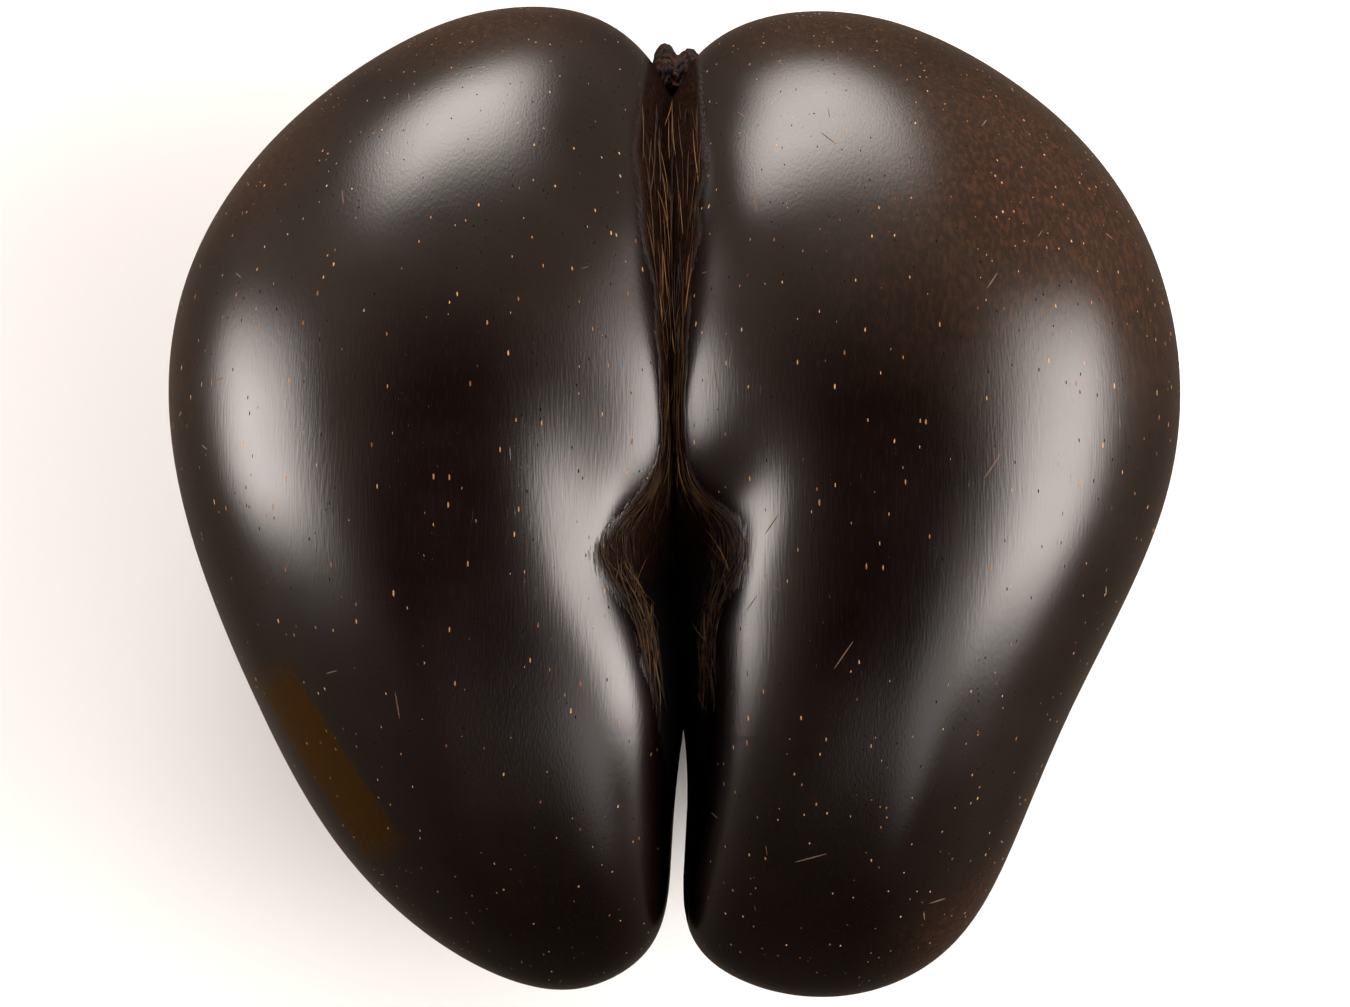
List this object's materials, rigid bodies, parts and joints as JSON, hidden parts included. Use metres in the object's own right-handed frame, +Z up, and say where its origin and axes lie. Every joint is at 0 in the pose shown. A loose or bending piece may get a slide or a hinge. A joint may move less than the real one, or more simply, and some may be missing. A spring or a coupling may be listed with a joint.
{
  "type": "coco de mer nut",
  "caption": "Polished two-lobed palm nut lying on its back, with a cleft front, a fork between its tips and a tuft of husk fibre in the notch.",
  "frame": {"origin": "under the middle of the nut, on the surface that it lies on", "axes": "+Z up, out of the cleft front face; +Y from the two tips towards the notch between the humps; +X across, towards the lobe with the blunter tip"},
  "size_m": [0.298, 0.2916, 0.1728],
  "materials": {
    "polished_shell": "very dark brown nut shell, oiled and polished to a soft gloss, with fine grain, pores and tan flecks",
    "husk_fibre": "rough dry fibre, dark brown and matte, left over from the husk"
  },
  "bodies": {
    "root": {"nut": "polished_shell", "husk_tuft": "husk_fibre"}
  },
  "joints": []
}
